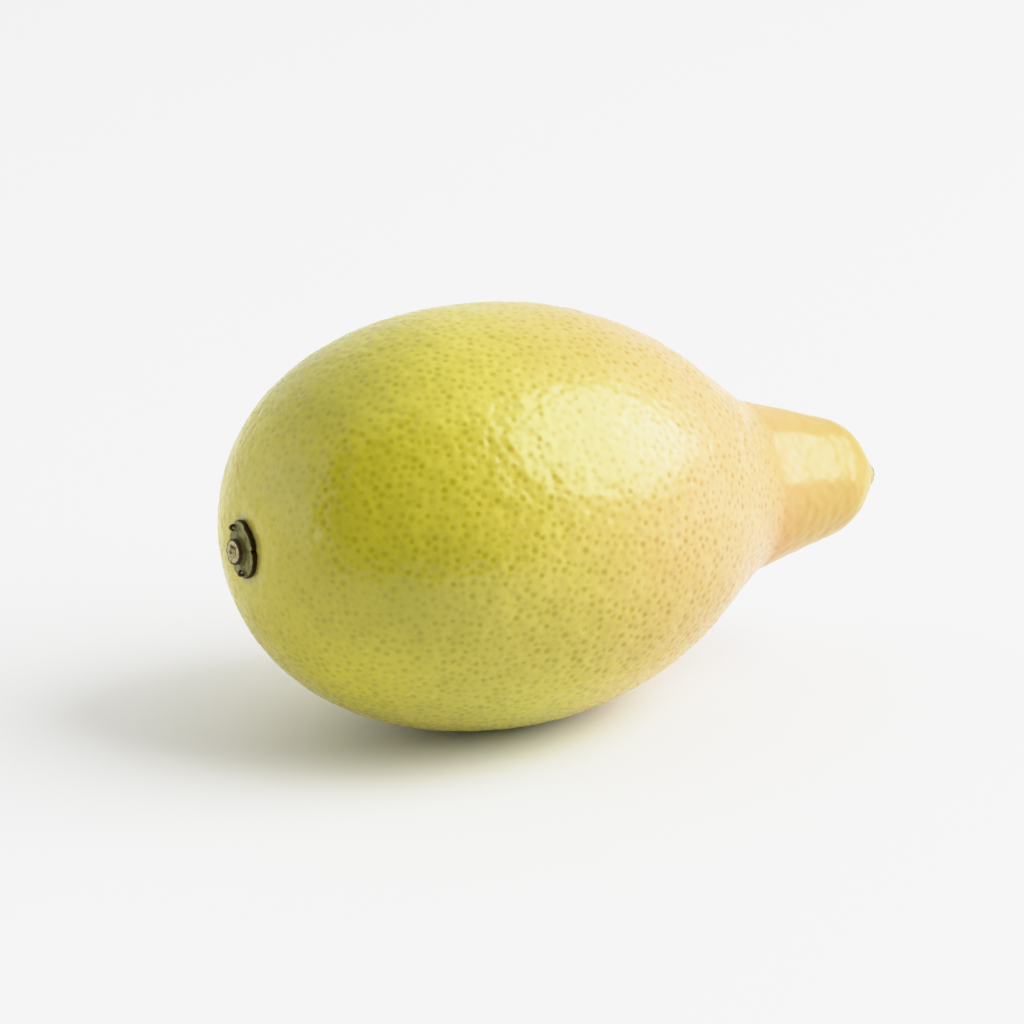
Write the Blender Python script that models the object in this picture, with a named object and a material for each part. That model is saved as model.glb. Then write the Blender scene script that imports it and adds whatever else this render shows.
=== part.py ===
"""A limequat as picked, lying on its side. Metres, +Z up, stem end towards -X, neck towards +X.

The world origin is the middle of the small flat spot that the fruit rests on. Each piece is
modelled in the fruit's own frame, whose x runs along the fruit's axis from the stem end, and an
empty lays that frame down.
"""

import math

import bmesh
import bpy
from mathutils import Matrix, Vector

MM = 0.001
GAP = 0.3 * MM  # clearance between neighbouring solids

# Outline of the fruit: places along its axis from the stem end, and radii about it
FRUIT_LENGTH = 58.0 * MM
BODY_RADIUS = 17.0 * MM
WIDEST_AT = 22.5 * MM
STEM_END_POWER = 2.23  # above 2, so the stem end is blunter than an ellipse
SHOULDER_REACH = 24.6 * MM  # from the widest place to where the body alone would close
SHOULDER_POWER = 1.90
SHOULDER_ROOT = 1.72
NECK_CONE_START_RADIUS = 13.45 * MM  # the neck's cone starts inside the body, at its widest place
NECK_CONE_END_RADIUS = 4.0 * MM
NECK_CAP_LENGTH = 4.05 * MM
NECK_CAP_POWER = 2.27
NECK_FILLET = 2.75 * MM

# The cross-section isn't quite round: waves around it, share of the radius, start angle, twist
UNEVENNESS = ((2, 0.0030, 0.7, 1.0), (3, 0.0025, 2.1, -2.0), (5, 0.0012, 4.0, 1.5))

# Resting place
NECK_DROOP = math.radians(4.0)
FLAT_SPOT_DEPTH = 0.35 * MM

# Hollow that holds the calyx, and the nipple at the end of the neck, as y and z from the axis
SEAT_MIDDLE = (0.0, -0.5 * MM)
SEAT_DEPTH = 0.85 * MM
SEAT_SPREAD = 3.0 * MM
NIPPLE_MIDDLE = (-1.0 * MM, 0.0)
NIPPLE_HEIGHT = 0.45 * MM
NIPPLE_SPREAD = 1.35 * MM

# Calyx, with angles seen from the stem end: 0 points to -Y and 90 degrees points up
CALYX_RADIUS = 2.1 * MM
CALYX_EDGE_THICKNESS = 0.36 * MM
CALYX_MIDDLE_THICKNESS = 0.5 * MM
LOBE_ANGLES = tuple(math.radians(a) for a in (40.0, 112.0, 180.0, 252.0, 324.0))
CURLED_LOBES = (1, 3)
CLEFT_DEPTH = 0.09  # share of the radius
CLEFT_WIDTH = math.radians(7.0)
LOBE_POINT = 0.07  # share of the radius
LOBE_POINT_WIDTH = math.radians(16.0)
CURL_START = 0.6  # share of the way to the edge
CURL_RISE = 0.6 * MM
CURL_WIDTH = math.radians(15.0)
CALYX_SHARES = (0.3, 0.6, 0.82, 0.95)  # rings across each face

# Stub of the cut stem
STUB_RADIUS = 1.0 * MM
STUB_FLARE = 0.12 * MM
STUB_HEIGHT = 0.55 * MM
STUB_LEAN = math.radians(4.0)  # towards -Y
STUB_DROP = 0.14 * MM  # below the calyx's middle
PITH_RADIUS = 0.42 * MM
PITH_DEPTH = 0.12 * MM

# Dry remnant of the style at the end of the neck
STYLE_RADIUS = 0.75 * MM
STYLE_HEIGHT = 0.25 * MM

# Mesh fineness
FRUIT_SEGMENTS = 56
FINEST_STEP = 0.4 * MM
COARSEST_STEP = 1.5 * MM  # where the outline is at least this share of the body's radius:
COARSEST_FROM = 0.6
CALYX_SEGMENTS = 60
SMALL_SEGMENTS = 24
AXIS_SAMPLES = 4000
CREASE = math.radians(40.0)  # edges sharper than this are shaded sharp

# Colour, roughness and metallic value of each piece
PEEL = ("peel", (0.62, 0.58, 0.16), 0.32, 0.0)
CALYX_GREEN = ("calyx", (0.20, 0.21, 0.09), 0.75, 0.0)
STEM_WOOD = ("stem", (0.42, 0.36, 0.20), 0.80, 0.0)
STYLE_BROWN = ("style", (0.40, 0.29, 0.14), 0.80, 0.0)


def smooth_max(a, b, width):
    """The larger of two lengths, with a fillet where they are within width of each other."""
    share = min(1.0, max(0.0, 0.5 + 0.5 * (b - a) / width))
    return a + (b - a) * share + width * share * (1.0 - share)


def body_radius(x):
    """Radius of the body alone, without its neck."""
    if x < WIDEST_AT:
        left = min(1.0, (WIDEST_AT - x) / WIDEST_AT)
        return BODY_RADIUS * (1.0 - left**STEM_END_POWER) ** (1.0 / STEM_END_POWER)
    right = min(1.0, (x - WIDEST_AT) / SHOULDER_REACH)
    return BODY_RADIUS * (1.0 - right**SHOULDER_POWER) ** (1.0 / SHOULDER_ROOT)


def neck_radius(x):
    """Radius of the neck alone: a straight taper, closed by a round cap."""
    along = (x - WIDEST_AT) / (FRUIT_LENGTH - WIDEST_AT)
    cone = NECK_CONE_START_RADIUS + (NECK_CONE_END_RADIUS - NECK_CONE_START_RADIUS) * along
    cap = min(1.0, max(0.0, (x - FRUIT_LENGTH + NECK_CAP_LENGTH) / NECK_CAP_LENGTH))
    return cone * (1.0 - cap**NECK_CAP_POWER) ** (1.0 / NECK_CAP_POWER)


def outline_radius(x):
    """Radius of the whole fruit before its unevenness, with the fillet fading out at the neck's end."""
    if x < WIDEST_AT:
        return body_radius(x)
    width = NECK_FILLET * min(1.0, (FRUIT_LENGTH - x) / NECK_CAP_LENGTH)
    if width <= 0.0:
        return 0.0
    return smooth_max(body_radius(x), neck_radius(x), width)


def bump(distance, spread):
    """A smooth hump, 1 in its middle."""
    return math.exp(-((distance / spread) ** 2))


def seat(y, z):
    """How far the hollow for the calyx sinks the skin, towards +X."""
    return SEAT_DEPTH * bump(math.hypot(y - SEAT_MIDDLE[0], z - SEAT_MIDDLE[1]), SEAT_SPREAD)


def nipple(y, z):
    """How far the nipple lifts the skin at the end of the neck, towards +X."""
    return NIPPLE_HEIGHT * bump(math.hypot(y - NIPPLE_MIDDLE[0], z - NIPPLE_MIDDLE[1]), NIPPLE_SPREAD)


def skin_point(x, angle):
    """Point of the skin in the fruit's frame. Angle 0 points to +Y and 90 degrees points up."""
    radius = outline_radius(x)
    for waves, share, start, twist in UNEVENNESS:
        radius *= 1.0 + share * math.sin(waves * angle + start + twist * x / FRUIT_LENGTH)
    y, z = radius * math.cos(angle), radius * math.sin(angle)
    end = seat(y, z) if x < WIDEST_AT else nipple(y, z)
    return Vector((x + end, y, z))


def dome_drop(y, z, length, radius, power):
    """How far a rounded end of this length and radius lies behind its pole at y and z."""
    share = math.hypot(y, z) / radius
    return length * (1.0 - (1.0 - share**power) ** (1.0 / power))


def stem_end_x(y, z):
    """The skin's x near the stem end, at y and z from the axis."""
    return dome_drop(y, z, WIDEST_AT, BODY_RADIUS, STEM_END_POWER) + seat(y, z)


def neck_end_x(y, z):
    """The skin's x near the end of the neck, at y and z from the axis."""
    drop = dome_drop(y, z, NECK_CAP_LENGTH, NECK_CONE_END_RADIUS, NECK_CAP_POWER)
    return FRUIT_LENGTH - drop + nipple(y, z)


def axis_samples():
    """Many places along the axis, closer together towards both ends."""
    turns = (math.pi * i / AXIS_SAMPLES for i in range(AXIS_SAMPLES + 1))
    return [0.5 * FRUIT_LENGTH * (1.0 - math.cos(turn)) for turn in turns]


def stations():
    """Places along the axis for the fruit's rings, spaced by the outline's length between them."""
    places = axis_samples()
    found = []
    walked = 0.0
    for before, x in zip(places, places[1:]):
        walked += math.hypot(x - before, outline_radius(x) - outline_radius(before))
        towards_widest = min(1.0, outline_radius(x) / (COARSEST_FROM * BODY_RADIUS))
        if walked >= FINEST_STEP + (COARSEST_STEP - FINEST_STEP) * towards_widest:
            found.append(x)
            walked = 0.0
    return found


def ring(count, point):
    """One ring of points, as point gives them for each angle."""
    return [point(2.0 * math.pi * i / count) for i in range(count)]


def ringed_solid(name, first_pole, rings, last_pole):
    """A closed mesh: a pole, rings of equal count, and a pole."""
    bm = bmesh.new()
    loops = [[bm.verts.new(p) for p in points] for points in rings]
    for pole, loop in ((first_pole, loops[0]), (last_pole, loops[-1])):
        tip = bm.verts.new(pole)
        for a, b in zip(loop, loop[1:] + loop[:1]):
            bm.faces.new((tip, a, b))
    for lower, upper in zip(loops, loops[1:]):
        for i in range(len(lower)):
            j = (i + 1) % len(lower)
            bm.faces.new((lower[i], lower[j], upper[j], upper[i]))
    bmesh.ops.recalc_face_normals(bm, faces=bm.faces[:])
    mesh = bpy.data.meshes.new(name)
    bm.to_mesh(mesh)
    bm.free()
    return mesh


def material(name, colour, roughness, metallic):
    made = bpy.data.materials.new(name)
    made.use_nodes = True
    shader = made.node_tree.nodes["Principled BSDF"]
    shader.inputs["Base Color"].default_value = (*colour, 1.0)
    shader.inputs["Roughness"].default_value = roughness
    shader.inputs["Metallic"].default_value = metallic
    made.diffuse_color = (*colour, 1.0)
    return made


def add_piece(name, mesh, look, parent):
    mesh.materials.append(material(*look))
    mesh.shade_smooth()
    mesh.set_sharp_from_angle(angle=CREASE)
    piece = bpy.data.objects.new(name, mesh)
    bpy.context.scene.collection.objects.link(piece)
    piece.parent = parent
    return piece


def laid_down():
    """The matrix that lays the fruit's frame down, with its lowest place just under the origin."""
    turn = Matrix.Rotation(NECK_DROOP, 4, "Y")
    underside = [turn @ skin_point(x, -0.5 * math.pi) for x in axis_samples()]
    lowest = min(underside, key=lambda point: point.z)
    return Matrix.Translation(-lowest - Vector((0.0, 0.0, FLAT_SPOT_DEPTH))) @ turn


def fruit_mesh(placement):
    """Body, neck and nipple in one skin, cut flat where the fruit rests."""
    rings = [ring(FRUIT_SEGMENTS, lambda angle: skin_point(x, angle)) for x in stations()]
    mesh = ringed_solid("fruit", skin_point(0.0, 0.0), rings, skin_point(FRUIT_LENGTH, 0.0))
    to_fruit = placement.inverted()
    bm = bmesh.new()
    bm.from_mesh(mesh)
    cut = bmesh.ops.bisect_plane(
        bm,
        geom=bm.verts[:] + bm.edges[:] + bm.faces[:],
        plane_co=to_fruit @ Vector((0.0, 0.0, 0.0)),
        plane_no=to_fruit.to_3x3() @ Vector((0.0, 0.0, -1.0)),
        clear_outer=True,
    )
    rim = [item for item in cut["geom_cut"] if isinstance(item, bmesh.types.BMEdge)]
    bmesh.ops.contextual_create(bm, geom=rim)
    bmesh.ops.recalc_face_normals(bm, faces=bm.faces[:])
    bm.to_mesh(mesh)
    bm.free()
    return mesh


def turn_between(a, b):
    """Smallest turn between two angles."""
    return abs((a - b + math.pi) % (2.0 * math.pi) - math.pi)


def cleft_angles():
    """Half-way between neighbouring lobes."""
    following = LOBE_ANGLES[1:] + (LOBE_ANGLES[0] + 2.0 * math.pi,)
    return [0.5 * (a + b) for a, b in zip(LOBE_ANGLES, following)]


def calyx_edge(angle):
    """Distance of the calyx's edge from its middle."""
    clefts = sum(bump(turn_between(angle, cleft), CLEFT_WIDTH) for cleft in cleft_angles())
    points = sum(bump(turn_between(angle, lobe), LOBE_POINT_WIDTH) for lobe in LOBE_ANGLES)
    return CALYX_RADIUS * (1.0 - CLEFT_DEPTH * clefts + LOBE_POINT * points)


def calyx_point(share, height, angle):
    """Point of the calyx, height above its underside, at a share of the way to its edge."""
    out = share * calyx_edge(angle)
    y, z = SEAT_MIDDLE[0] - out * math.cos(angle), SEAT_MIDDLE[1] + out * math.sin(angle)
    curl = sum(bump(turn_between(angle, LOBE_ANGLES[i]), CURL_WIDTH) for i in CURLED_LOBES)
    rise = CURL_RISE * curl * max(0.0, (share - CURL_START) / (1.0 - CURL_START)) ** 2
    return Vector((stem_end_x(y, z) - GAP - height - rise, y, z))


def calyx_mesh():
    """A five-lobed disc that follows the hollow in the fruit, thicker in its middle."""

    def top_height(share):
        return CALYX_MIDDLE_THICKNESS + (CALYX_EDGE_THICKNESS - CALYX_MIDDLE_THICKNESS) * share**2

    path = [(share, 0.0) for share in CALYX_SHARES]
    path += [(1.0, 0.15 * CALYX_EDGE_THICKNESS), (1.0, 0.75 * CALYX_EDGE_THICKNESS)]
    path += [(share, top_height(share)) for share in reversed(CALYX_SHARES)]
    rings = [
        ring(CALYX_SEGMENTS, lambda angle: calyx_point(share, height, angle))
        for share, height in path
    ]
    underside = calyx_point(0.0, 0.0, 0.0)
    top = calyx_point(0.0, CALYX_MIDDLE_THICKNESS, 0.0)
    return ringed_solid("calyx", underside, rings, top)


def stub_mesh():
    """A short cut stem, flared where it meets the calyx, with its pith sunk in the cut face."""
    path = (
        (0.6 * STUB_RADIUS, 0.0),
        (STUB_RADIUS + STUB_FLARE, 0.0),
        (STUB_RADIUS + 0.4 * STUB_FLARE, 0.2 * STUB_HEIGHT),
        (STUB_RADIUS, 0.5 * STUB_HEIGHT),
        (STUB_RADIUS, 0.92 * STUB_HEIGHT),
        (0.9 * STUB_RADIUS, STUB_HEIGHT),
        (PITH_RADIUS, STUB_HEIGHT),
        (0.7 * PITH_RADIUS, STUB_HEIGHT - PITH_DEPTH),
    )
    foot = calyx_point(0.0, CALYX_MIDDLE_THICKNESS + GAP, 0.0)
    foot.z -= STUB_DROP
    lean = Matrix.Translation(foot) @ Matrix.Rotation(STUB_LEAN, 4, "Z")

    def stub_point(radius, height, angle=0.0):
        return lean @ Vector((-height, -radius * math.cos(angle), radius * math.sin(angle)))

    rings = [
        ring(SMALL_SEGMENTS, lambda angle: stub_point(radius, height, angle))
        for radius, height in path
    ]
    return ringed_solid("stem_stub", stub_point(0.0, 0.0), rings, stub_point(0.0, STUB_HEIGHT - PITH_DEPTH))


def style_mesh():
    """A small round button over the nipple."""
    foot = Vector((neck_end_x(*NIPPLE_MIDDLE) + GAP, *NIPPLE_MIDDLE))
    path = (
        (0.55 * STYLE_RADIUS, 0.0),
        (0.92 * STYLE_RADIUS, 0.0),
        (STYLE_RADIUS, 0.3 * STYLE_HEIGHT),
        (0.85 * STYLE_RADIUS, 0.7 * STYLE_HEIGHT),
        (0.45 * STYLE_RADIUS, 0.95 * STYLE_HEIGHT),
    )

    def style_point(radius, height, angle=0.0):
        return foot + Vector((height, radius * math.cos(angle), radius * math.sin(angle)))

    rings = [
        ring(SMALL_SEGMENTS, lambda angle: style_point(radius, height, angle))
        for radius, height in path
    ]
    return ringed_solid("style_tip", style_point(0.0, 0.0), rings, style_point(0.0, STYLE_HEIGHT))


def main():
    for leftover in list(bpy.data.objects):
        bpy.data.objects.remove(leftover)
    placement = laid_down()
    axis = bpy.data.objects.new("limequat_axis", None)
    bpy.context.scene.collection.objects.link(axis)
    axis.matrix_world = placement
    add_piece("fruit", fruit_mesh(placement), PEEL, axis)
    add_piece("calyx", calyx_mesh(), CALYX_GREEN, axis)
    add_piece("stem_stub", stub_mesh(), STEM_WOOD, axis)
    add_piece("style_tip", style_mesh(), STYLE_BROWN, axis)


main()
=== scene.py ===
import math
import random

import bmesh
import bpy
import numpy as np
from mathutils import Matrix, Vector, kdtree, noise


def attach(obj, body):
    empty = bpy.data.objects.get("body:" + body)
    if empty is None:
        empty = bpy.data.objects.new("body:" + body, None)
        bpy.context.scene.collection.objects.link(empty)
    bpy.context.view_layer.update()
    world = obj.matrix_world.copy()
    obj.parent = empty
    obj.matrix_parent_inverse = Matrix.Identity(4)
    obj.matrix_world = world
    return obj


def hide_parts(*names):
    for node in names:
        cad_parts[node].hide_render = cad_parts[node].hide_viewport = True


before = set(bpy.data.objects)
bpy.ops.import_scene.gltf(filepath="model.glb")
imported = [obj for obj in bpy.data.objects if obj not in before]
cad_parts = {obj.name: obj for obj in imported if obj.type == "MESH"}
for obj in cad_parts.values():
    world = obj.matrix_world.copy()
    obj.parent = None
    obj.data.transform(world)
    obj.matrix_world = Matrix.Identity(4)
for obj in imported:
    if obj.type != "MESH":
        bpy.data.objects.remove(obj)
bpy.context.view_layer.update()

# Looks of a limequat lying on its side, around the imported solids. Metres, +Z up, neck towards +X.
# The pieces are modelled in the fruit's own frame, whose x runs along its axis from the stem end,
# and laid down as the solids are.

MM = 0.001

# Outline of the fruit, as in the part: places along its axis from the stem end, radii about it
FRUIT_LENGTH = 58.0 * MM
BODY_RADIUS = 17.0 * MM
WIDEST_AT = 22.5 * MM
STEM_END_POWER = 2.23
SHOULDER_REACH = 24.6 * MM
SHOULDER_POWER = 1.90
SHOULDER_ROOT = 1.72
NECK_CONE_START_RADIUS = 13.45 * MM
NECK_CONE_END_RADIUS = 4.0 * MM
NECK_CAP_LENGTH = 4.05 * MM
NECK_CAP_POWER = 2.27
NECK_FILLET = 2.75 * MM

# Low waves round the fruit: number of them, height as a share of the radius, start, and twist along it
UNEVENNESS = ((2, 0.0030, 0.7, 1.0), (3, 0.0025, 2.1, -2.0), (5, 0.0012, 4.0, 1.5))

NECK_DROOP = math.radians(4.0)
FLAT_SPOT_DEPTH = 0.35 * MM

# The solids keep a gap between neighbours. Here the skin rises by that gap, to touch them.
SOLIDS_GAP = 0.3 * MM
SEAT_MIDDLE = (0.0, -0.5 * MM)
SEAT_DEPTH = 0.77 * MM - SOLIDS_GAP
SEAT_SPREAD = 3.0 * MM
NIPPLE_MIDDLE = (-1.0 * MM, 0.0)
NIPPLE_HEIGHT = 0.60 * MM
NIPPLE_SPREAD = 1.35 * MM

# Calyx, with angles seen from the stem end: 0 points to -Y and 90 degrees points up
CALYX_RADIUS = 2.1 * MM
CALYX_STRETCH = 0.07  # share by which it is longer at this angle, and shorter across it
CALYX_STRETCH_ANGLE = math.radians(98.0)
CALYX_EDGE_THICKNESS = 0.38 * MM
CALYX_MIDDLE_THICKNESS = 0.53 * MM
LOBE_ANGLES = tuple(math.radians(a) for a in (40.0, 112.0, 180.0, 252.0, 324.0))
CLEFTS = (  # (degrees, depth as a share of the radius, half width in degrees)
    (12.0, 0.13, 4.5),
    (50.0, 0.17, 32.0),  # its shorter side rather than a cleft
    (76.0, 0.03, 9.0),
    (146.0, 0.06, 7.0),
    (216.0, 0.06, 7.0),
    (272.0, 0.05, 7.0),
)
CALYX_UNDERSIDE = -0.05 * MM  # from the skin
CALYX_WOBBLES = ((0.55 * MM, 0.06 * MM), (0.2 * MM, 0.03 * MM))  # (length, height) of its unevenness
CALYX_WOBBLE_FULL = 0.2 * MM  # height above the skin where it is fully uneven
# its side is dried dark brown, and partly painted shade of the gap under its edge
CALYX_DARK_AND_SHADED_SIDE = (0.955, 0.99)  # shares of the way out between which its face turns dark
CALYX_DARK_TIPS = (0.10 * MM, 0.18 * MM)  # heights above the face between which a tip turns dark
LOBE_POINT = 0.04
LOBE_POINT_WIDTH = math.radians(16.0)
CURLED_TIPS = (math.radians(120.0), math.radians(293.0))
CURL_RADIUS = 0.23 * MM
CURL_TURN = math.radians(280.0)
CURL_FROM = 1.52 * MM  # where a curled tip leaves the face, from the middle
CURL_STRAIGHT = 0.25 * MM  # before it rolls
CURL_HALF_WIDTH = 0.30 * MM
CURL_HALF_THICKNESS = 0.11 * MM
CURL_STEPS = 28
CURL_SIDES = 20

# Stub of the cut stem
STUB_RADIUS = 1.0 * MM
STUB_FLARE = 0.09 * MM
STUB_TOP = 0.66 * MM  # above the calyx's face
STUB_BOTTOM = -0.2 * MM
STUB_LEAN = math.radians(4.0)
STUB_DROP = 0.10 * MM
PITH_RADIUS = 0.42 * MM
PITH_DEPTH = 0.12 * MM
BARK_HEIGHTS = (0.3, 0.7)  # shares of its height between which its bark turns dark
BARK_OUT = (0.84, 0.91)  # shares of its radius between which the cut wood turns to bark
BROKEN_LENGTH = 0.35 * MM  # of the gaps in the pith's ring
PITH_RING = 0.33  # radius and half width of the pith's ring, as shares of the stub's radius
PITH_RING_WIDTH = 0.10

# Dry remnant of the style
STYLE_RADIUS = 1.05 * MM
STYLE_HEIGHT = 0.20 * MM  # over the nipple's skin

# Relief of the skin
SKIN_STEP = 0.242 * MM  # between neighbouring points of its mesh
POLE_CLEARANCE = 4.0 * SKIN_STEP  # from the axis, within which no point is moved into a gland
GLAND_SPACING = 0.595 * MM
SHOULDER_GLAND_SPACING = 0.665 * MM
GLAND_SPACING_PLACES = (15.0 * MM, 26.0 * MM)  # where the spacing changes
GLAND_TRIES = 120000  # enough to fill the skin
GLANDS_CLEAR_OF_CALYX = (2.5 * MM, 8.5 * MM)  # from where they are faint to where they are full
GLANDS_UNDERNEATH = 7.0 * MM  # below the axis, where they are strongest
FAINTEST_GLAND = 0.35  # strengths are shares of the pit's depth and the dot's colour
GLAND_STRENGTHS = 0.75  # from the faintest gland to the strongest
STRENGTH_BY_CALYX = 0.35
STRENGTH_UNDERNEATH = 1.3
STRENGTH_ON_NECK = 0.07
GLAND_SIZES = (0.8, 1.2)
PIT_DEPTH = 0.030 * MM
PIT_WIDTH = 0.27 * MM
SWELL_SINK = 0.038 * MM  # keeps the swells inside the solid's outline
NECK_SINK = 0.03 * MM
SWELLS = ((1.7 * MM, 0.046 * MM), (0.62 * MM, 0.050 * MM))  # (length, height) of uneven swells
NECK_SWELLS = ((2.4 * MM, 0.040 * MM), (0.8 * MM, 0.062 * MM))
NECK_FROM, NECK_FULL = 43.0 * MM, 48.0 * MM
FLAT_SPOT_ROUNDING = 0.08 * MM

# Flattened side of the neck, which catches the light
FACET_ANGLE = math.radians(145.0)
FACET_HALF_WIDTH = 2.1 * MM
FACET_PLACES = (42.0 * MM, 47.5 * MM, 54.0 * MM, 57.4 * MM)  # its start, full depth from and to, end
FACET_SOFTNESS = 0.15 * MM
FACET_START_DEPTH = 1.35  # times the depth of a flat cut across its width
FACET_DEPTH_LOSS = 0.7  # from its start to its end
FACET_WAVINESS = 0.08  # of its half width
FACET_WAVE = 3.0 * MM

rng = random.Random(12)


def smooth_max(a, b, width):
    """The larger of two lengths, with a fillet where they are within width of each other."""
    share = np.clip(0.5 + 0.5 * (b - a) / width, 0.0, 1.0)
    return a + (b - a) * share + width * share * (1.0 - share)


def body_radius(x):
    """Radius of the body alone, without its neck."""
    left = np.clip((WIDEST_AT - x) / WIDEST_AT, 0.0, 1.0)
    right = np.clip((x - WIDEST_AT) / SHOULDER_REACH, 0.0, 1.0)
    stem_side = (1.0 - left**STEM_END_POWER) ** (1.0 / STEM_END_POWER)
    neck_side = (1.0 - right**SHOULDER_POWER) ** (1.0 / SHOULDER_ROOT)
    return BODY_RADIUS * np.where(x < WIDEST_AT, stem_side, neck_side)


def neck_radius(x):
    """Radius of the neck alone: a straight taper, closed by a round cap."""
    along = (x - WIDEST_AT) / (FRUIT_LENGTH - WIDEST_AT)
    cone = NECK_CONE_START_RADIUS + (NECK_CONE_END_RADIUS - NECK_CONE_START_RADIUS) * along
    cap = np.clip((x - FRUIT_LENGTH + NECK_CAP_LENGTH) / NECK_CAP_LENGTH, 0.0, 1.0)
    return cone * (1.0 - cap**NECK_CAP_POWER) ** (1.0 / NECK_CAP_POWER)


def outline_radius(x):
    """Radius of the whole fruit before its unevenness."""
    fading = np.clip((FRUIT_LENGTH - x) / NECK_CAP_LENGTH, 1e-9, 1.0)
    both = smooth_max(body_radius(x), neck_radius(x), NECK_FILLET * fading)
    return np.where(x < WIDEST_AT, body_radius(x), both)


def bump(distance, spread):
    """A smooth hump, 1 in its middle."""
    return np.exp(-((distance / spread) ** 2))


def seat(y, z):
    """How far the hollow for the calyx sinks the skin, towards +X."""
    return SEAT_DEPTH * bump(np.hypot(y - SEAT_MIDDLE[0], z - SEAT_MIDDLE[1]), SEAT_SPREAD)


def nipple(y, z):
    """How far the nipple lifts the skin at the end of the neck, towards +X."""
    return NIPPLE_HEIGHT * bump(np.hypot(y - NIPPLE_MIDDLE[0], z - NIPPLE_MIDDLE[1]), NIPPLE_SPREAD)


def skin_points(x, angle):
    """Points of the smooth skin in the fruit's frame. Angle 0 points to +Y and 90 degrees up."""
    radius = outline_radius(x)
    for waves, share, start, twist in UNEVENNESS:
        radius = radius * (1.0 + share * np.sin(waves * angle + start + twist * x / FRUIT_LENGTH))
    y, z = radius * np.cos(angle), radius * np.sin(angle)
    end = np.where(x < WIDEST_AT, seat(y, z), nipple(y, z))
    return np.stack((x + end, y, z), axis=-1)


def dome_drop(y, z, length, radius, power):
    """How far a rounded end of this length and radius lies behind its pole at y and z."""
    share = math.hypot(y, z) / radius
    return length * (1.0 - (1.0 - share**power) ** (1.0 / power))


def stem_end_x(y, z):
    """The skin's x near the stem end."""
    return dome_drop(y, z, WIDEST_AT, BODY_RADIUS, STEM_END_POWER) + float(seat(y, z))


def neck_end_x(y, z):
    """The skin's x near the end of the neck."""
    drop = dome_drop(y, z, NECK_CAP_LENGTH, NECK_CONE_END_RADIUS, NECK_CAP_POWER)
    return FRUIT_LENGTH - drop + float(nipple(y, z))


def axis_samples(count=4000):
    """Many places along the axis, closer together towards both ends."""
    return 0.5 * FRUIT_LENGTH * (1.0 - np.cos(np.linspace(0.0, math.pi, count + 1)))


def laid_down():
    """The matrix that lays the fruit's frame down, with its lowest place just under the origin."""
    turn = Matrix.Rotation(NECK_DROOP, 4, "Y")
    samples = axis_samples()
    underside = skin_points(samples, np.full_like(samples, -0.5 * math.pi))
    turned = underside @ np.array(turn.to_3x3()).T
    lowest = Vector(turned[turned[:, 2].argmin()])
    return Matrix.Translation(-lowest - Vector((0.0, 0.0, FLAT_SPOT_DEPTH))) @ turn


PLACEMENT = laid_down()


def placed(points):
    """Points of the fruit's frame, laid down in the world."""
    matrix = np.array(PLACEMENT)
    return np.asarray(points) @ matrix[:3, :3].T + matrix[:3, 3]


def ramp(value, start, end):
    """0 before start, 1 after end, smooth between."""
    share = np.clip((value - start) / (end - start), 0.0, 1.0)
    return share * share * (3.0 - 2.0 * share)


# Skin


def skin_rings():
    """(place along the axis, number of points round it) for nearly even triangles."""
    x = axis_samples(40000)
    radius = outline_radius(x)
    row = SKIN_STEP * math.sqrt(3.0) / 2.0
    rows = np.cumsum(np.hypot(np.diff(x), np.diff(radius)) / row)
    wanted = np.arange(0.9, rows[-1] - 0.6, 1.0)
    places = np.interp(wanted, rows, x[1:])
    counts = np.maximum(6, 2.0 * math.pi * outline_radius(places) / SKIN_STEP)
    return list(zip(places, np.rint(counts).astype(int)))


def stitched(first, first_count, second, second_count):
    """Triangles between two rings of points whose numbers differ. Each ring starts at angle 0."""
    faces = []
    i = j = 0
    while i < first_count or j < second_count:
        a, b = first + i % first_count, second + j % second_count
        if j == second_count or (i < first_count and (i + 1) * second_count <= (j + 1) * first_count):
            faces.append((a, first + (i + 1) % first_count, b))
            i += 1
        else:
            faces.append((a, second + (j + 1) % second_count, b))
            j += 1
    return faces


def skin_sheet():
    """The smooth skin: its places along and angles about the axis, and its triangles."""
    along, around, faces = [np.zeros(1)], [np.zeros(1)], []
    start, previous = 1, None
    for place, count in skin_rings():
        along.append(np.full(count, place))
        around.append(np.arange(count) * (2.0 * math.pi / count))
        if previous is None:
            faces += [(0, start + (i + 1) % count, start + i) for i in range(count)]
        else:
            faces += stitched(*previous, start, count)
        previous = (start, count)
        start += count
    along.append(np.full(1, FRUIT_LENGTH))
    around.append(np.zeros(1))
    last, count = previous
    faces += [(start, last + i, last + (i + 1) % count) for i in range(count)]
    return np.concatenate(along), np.concatenate(around), faces


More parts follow.
